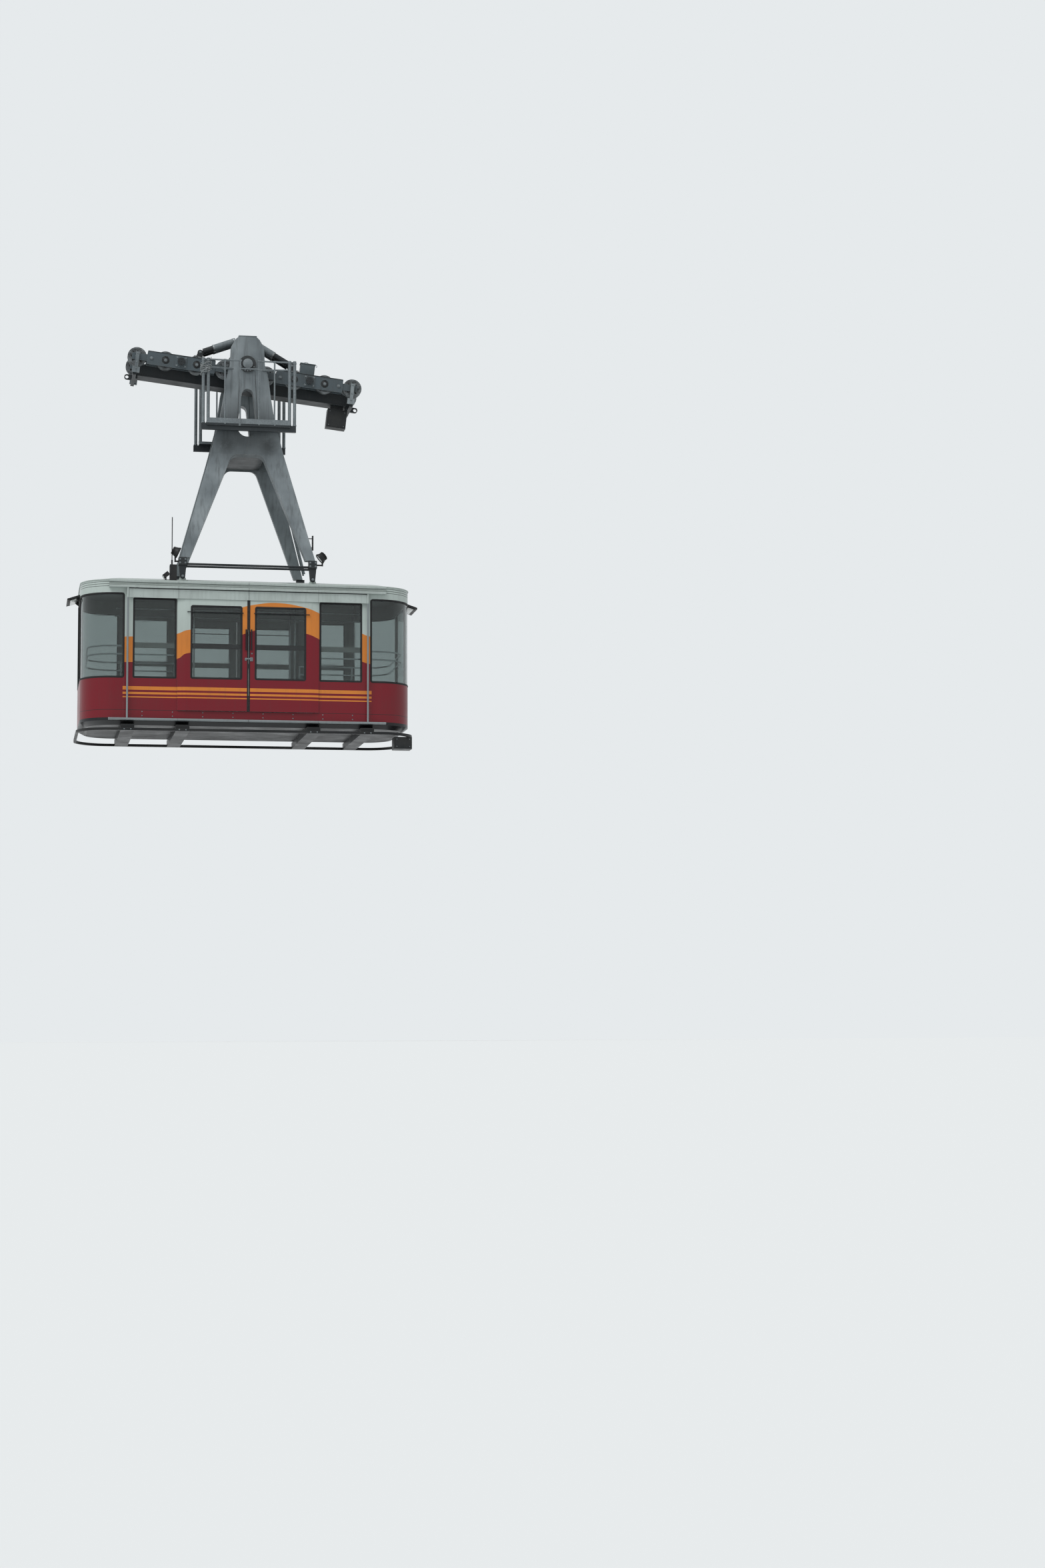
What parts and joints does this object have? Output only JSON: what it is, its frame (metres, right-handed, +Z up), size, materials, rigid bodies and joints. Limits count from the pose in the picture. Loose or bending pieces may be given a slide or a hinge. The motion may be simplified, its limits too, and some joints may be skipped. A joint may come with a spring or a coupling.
{
  "type": "aerial ropeway cabin with hanger and carriage",
  "caption": "Aerial ropeway passenger cabin with sliding doors, hung by a forked steel hanger from a wheeled carriage that runs on twin track ropes.",
  "frame": {"origin": "midway between the two track ropes at the ropes' centre height, straight below the hanger's pivot", "axes": "+X along the cabin to its downhill end, +Y to the far side, +Z up"},
  "size_m": [6.06, 2.58, 7.3447],
  "materials": {
    "underframe_paint": "matt, weathered",
    "carriage_paint": "weathered grey paint",
    "hanger_paint": "weathered grey paint",
    "bare_steel": "turned",
    "wheel_steel": "greasy, worn bright in the groove",
    "galvanised_steel": "galvanised, dull",
    "grey_plastic": "moulded",
    "lamp_black": "satin black",
    "cabin_paint": "gloss coach paint",
    "roof_paint": "gloss coach paint",
    "floor_aluminium": "chequer plate",
    "window_glass": "tinted safety glass",
    "stainless_tube": "brushed",
    "track_aluminium": "painted and bare extrusion"
  },
  "bodies": {
    "carriage": {"carriage_girder": "underframe_paint", "pivot_pins": "bare_steel", "end_yokes": "underframe_paint", "rope_guides": "underframe_paint", "damper_brackets": "underframe_paint", "carriage_boxes": "carriage_paint"},
    "bogie_near_left": {"bogie_near_left": "carriage_paint"},
    "wheel_near_left_1": {"wheel_near_left_1": "wheel_steel"},
    "wheel_near_left_2": {"wheel_near_left_2": "wheel_steel"},
    "wheel_near_left_3": {"wheel_near_left_3": "wheel_steel"},
    "wheel_near_left_4": {"wheel_near_left_4": "wheel_steel"},
    "bogie_near_right": {"bogie_near_right": "carriage_paint"},
    "wheel_near_right_1": {"wheel_near_right_1": "wheel_steel"},
    "wheel_near_right_2": {"wheel_near_right_2": "wheel_steel"},
    "wheel_near_right_3": {"wheel_near_right_3": "wheel_steel"},
    "wheel_near_right_4": {"wheel_near_right_4": "wheel_steel"},
    "bogie_far_left": {"bogie_far_left": "carriage_paint"},
    "wheel_far_left_1": {"wheel_far_left_1": "wheel_steel"},
    "wheel_far_left_2": {"wheel_far_left_2": "wheel_steel"},
    "wheel_far_left_3": {"wheel_far_left_3": "wheel_steel"},
    "wheel_far_left_4": {"wheel_far_left_4": "wheel_steel"},
    "bogie_far_right": {"bogie_far_right": "carriage_paint"},
    "wheel_far_right_1": {"wheel_far_right_1": "wheel_steel"},
    "wheel_far_right_2": {"wheel_far_right_2": "wheel_steel"},
    "wheel_far_right_3": {"wheel_far_right_3": "wheel_steel"},
    "wheel_far_right_4": {"wheel_far_right_4": "wheel_steel"},
    "hanger": {"hanger_frame_near": "hanger_paint", "hanger_frame_far": "hanger_paint", "hanger_links": "hanger_paint", "hanger_feet": "hanger_paint", "platforms": "galvanised_steel", "ladder": "galvanised_steel", "roof_equipment": "grey_plastic", "lamps": "lamp_black", "side_frame_near": "cabin_paint", "side_frame_far": "cabin_paint", "end_wall_left": "cabin_paint", "end_wall_right": "cabin_paint", "cabin_roof": "roof_paint", "cabin_floor": "floor_aluminium", "underframe": "underframe_paint", "cross_beams": "underframe_paint", "control_box": "lamp_black", "bumper_ring": "underframe_paint", "cabin_glass": "window_glass", "handrails": "stainless_tube", "door_tracks": "track_aluminium"},
    "door_near_left": {"door_near_left": "cabin_paint", "door_glass_near_left": "window_glass"},
    "door_near_right": {"door_near_right": "cabin_paint", "door_glass_near_right": "window_glass"},
    "door_far_left": {"door_far_left": "cabin_paint", "door_glass_far_left": "window_glass"},
    "door_far_right": {"door_far_right": "cabin_paint", "door_glass_far_right": "window_glass"},
    "damper_barrels_left": {"damper_barrels_left": "underframe_paint"},
    "damper_rods_left": {"damper_rods_left": "bare_steel"},
    "damper_barrels_right": {"damper_barrels_right": "underframe_paint"},
    "damper_rods_right": {"damper_rods_right": "bare_steel"}
  },
  "joints": [
    {"name": "hanger_swing", "type": "hinge", "parent": "carriage", "child": "hanger", "pos_m": [0, 0, 0.2374], "axis": [0, 1, 0], "range_deg": [-13.8, 26.2]},
    {"name": "bogie_near_left_rock", "type": "hinge", "parent": "carriage", "child": "bogie_near_left", "pos_m": [-1.12498, -0.35, 0.29885], "axis": [0, 1, 0], "range_deg": [-4, 4]},
    {"name": "wheel_near_left_1_spin", "type": "hinge", "parent": "bogie_near_left", "child": "wheel_near_left_1", "pos_m": [-1.88401, -0.35, 0.37668], "axis": [0, 1, 0], "continuous": true},
    {"name": "wheel_near_left_2_spin", "type": "hinge", "parent": "bogie_near_left", "child": "wheel_near_left_2", "pos_m": [-1.39392, -0.35, 0.32318], "axis": [0, 1, 0], "continuous": true},
    {"name": "wheel_near_left_3_spin", "type": "hinge", "parent": "bogie_near_left", "child": "wheel_near_left_3", "pos_m": [-0.85711, -0.35, 0.26458], "axis": [0, 1, 0], "continuous": true},
    {"name": "wheel_near_left_4_spin", "type": "hinge", "parent": "bogie_near_left", "child": "wheel_near_left_4", "pos_m": [-0.36702, -0.35, 0.21108], "axis": [0, 1, 0], "continuous": true},
    {"name": "bogie_near_right_rock", "type": "hinge", "parent": "carriage", "child": "bogie_near_right", "pos_m": [1.11174, -0.35, 0.05468], "axis": [0, 1, 0], "range_deg": [-4, 4]},
    {"name": "wheel_near_right_1_spin", "type": "hinge", "parent": "bogie_near_right", "child": "wheel_near_right_1", "pos_m": [0.3527, -0.35, 0.13251], "axis": [0, 1, 0], "continuous": true},
    {"name": "wheel_near_right_2_spin", "type": "hinge", "parent": "bogie_near_right", "child": "wheel_near_right_2", "pos_m": [0.84279, -0.35, 0.07901], "axis": [0, 1, 0], "continuous": true},
    {"name": "wheel_near_right_3_spin", "type": "hinge", "parent": "bogie_near_right", "child": "wheel_near_right_3", "pos_m": [1.3796, -0.35, 0.02041], "axis": [0, 1, 0], "continuous": true},
    {"name": "wheel_near_right_4_spin", "type": "hinge", "parent": "bogie_near_right", "child": "wheel_near_right_4", "pos_m": [1.86969, -0.35, -0.03309], "axis": [0, 1, 0], "continuous": true},
    {"name": "bogie_far_left_rock", "type": "hinge", "parent": "carriage", "child": "bogie_far_left", "pos_m": [-1.12498, 0.35, 0.29885], "axis": [0, 1, 0], "range_deg": [-4, 4]},
    {"name": "wheel_far_left_1_spin", "type": "hinge", "parent": "bogie_far_left", "child": "wheel_far_left_1", "pos_m": [-1.88401, 0.35, 0.37668], "axis": [0, 1, 0], "continuous": true},
    {"name": "wheel_far_left_2_spin", "type": "hinge", "parent": "bogie_far_left", "child": "wheel_far_left_2", "pos_m": [-1.39392, 0.35, 0.32318], "axis": [0, 1, 0], "continuous": true},
    {"name": "wheel_far_left_3_spin", "type": "hinge", "parent": "bogie_far_left", "child": "wheel_far_left_3", "pos_m": [-0.85711, 0.35, 0.26458], "axis": [0, 1, 0], "continuous": true},
    {"name": "wheel_far_left_4_spin", "type": "hinge", "parent": "bogie_far_left", "child": "wheel_far_left_4", "pos_m": [-0.36702, 0.35, 0.21108], "axis": [0, 1, 0], "continuous": true},
    {"name": "bogie_far_right_rock", "type": "hinge", "parent": "carriage", "child": "bogie_far_right", "pos_m": [1.11174, 0.35, 0.05468], "axis": [0, 1, 0], "range_deg": [-4, 4]},
    {"name": "wheel_far_right_1_spin", "type": "hinge", "parent": "bogie_far_right", "child": "wheel_far_right_1", "pos_m": [0.3527, 0.35, 0.13251], "axis": [0, 1, 0], "continuous": true},
    {"name": "wheel_far_right_2_spin", "type": "hinge", "parent": "bogie_far_right", "child": "wheel_far_right_2", "pos_m": [0.84279, 0.35, 0.07901], "axis": [0, 1, 0], "continuous": true},
    {"name": "wheel_far_right_3_spin", "type": "hinge", "parent": "bogie_far_right", "child": "wheel_far_right_3", "pos_m": [1.3796, 0.35, 0.02041], "axis": [0, 1, 0], "continuous": true},
    {"name": "wheel_far_right_4_spin", "type": "hinge", "parent": "bogie_far_right", "child": "wheel_far_right_4", "pos_m": [1.86969, 0.35, -0.03309], "axis": [0, 1, 0], "continuous": true},
    {"name": "door_near_left_slide", "type": "slide", "parent": "hanger", "child": "door_near_left", "axis": [-1, 0, 0], "range_m": [0, 0.83]},
    {"name": "door_near_right_slide", "type": "slide", "parent": "hanger", "child": "door_near_right", "axis": [1, 0, 0], "range_m": [0, 0.83]},
    {"name": "door_far_left_slide", "type": "slide", "parent": "hanger", "child": "door_far_left", "axis": [-1, 0, 0], "range_m": [0, 0.83]},
    {"name": "door_far_right_slide", "type": "slide", "parent": "hanger", "child": "door_far_right", "axis": [1, 0, 0], "range_m": [0, 0.83]},
    {"name": "damper_left_turn", "type": "hinge", "parent": "carriage", "child": "damper_barrels_left", "pos_m": [-0.77476, 0, 0.56743], "axis": [0, 1, 0], "range_deg": [-3.33, 6.14]},
    {"name": "damper_left_stroke", "type": "slide", "parent": "damper_barrels_left", "child": "damper_rods_left", "axis": [0.9357, 0, 0.3528], "range_m": [-0.1386, 0.2613]},
    {"name": "damper_right_turn", "type": "hinge", "parent": "carriage", "child": "damper_barrels_right", "pos_m": [0.82772, 0, 0.39249], "axis": [0, 1, 0], "range_deg": [-3.34, 6.16]},
    {"name": "damper_right_stroke", "type": "slide", "parent": "damper_barrels_right", "child": "damper_rods_right", "axis": [-0.8634, 0, 0.5045], "range_m": [-0.2614, 0.1387]}
  ],
  "couplings": [
    {"joint": "damper_left_turn", "follows": "hanger_swing", "ratio": 0.2268},
    {"joint": "damper_left_stroke", "follows": "hanger_swing", "m_per_rad": 0.5672},
    {"joint": "damper_right_turn", "follows": "hanger_swing", "ratio": 0.2275},
    {"joint": "damper_right_stroke", "follows": "hanger_swing", "m_per_rad": -0.5674}
  ]
}
